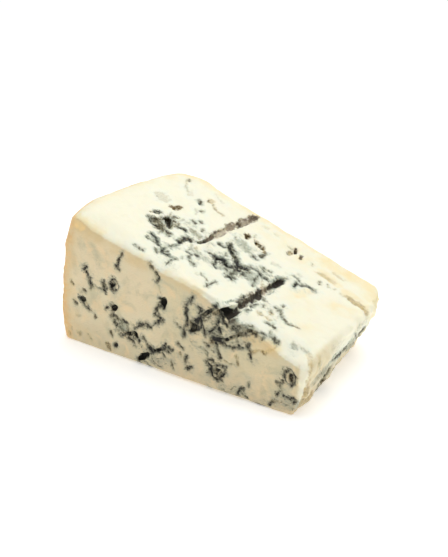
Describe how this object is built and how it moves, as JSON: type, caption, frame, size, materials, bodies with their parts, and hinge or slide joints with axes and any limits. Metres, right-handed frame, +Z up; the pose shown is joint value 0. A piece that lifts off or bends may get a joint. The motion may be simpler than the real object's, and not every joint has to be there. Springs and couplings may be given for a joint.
{
  "type": "blue cheese wedge",
  "caption": "Wedge of blue-veined cheese lying on a long cut face, with rind on its thick end and back, needle channels, eyes and a torn thin end.",
  "frame": {"origin": "middle of the base, on the surface the wedge rests on", "axes": "+X from the rind to the thin end, +Y from the front cut to the flat rind, +Z up"},
  "size_m": [0.0968, 0.06, 0.0476],
  "materials": {
    "cheese": "pale ivory paste with blue-black veins, moist satin; cream rind"
  },
  "bodies": {
    "root": {"cheese_wedge": "cheese"}
  },
  "joints": []
}
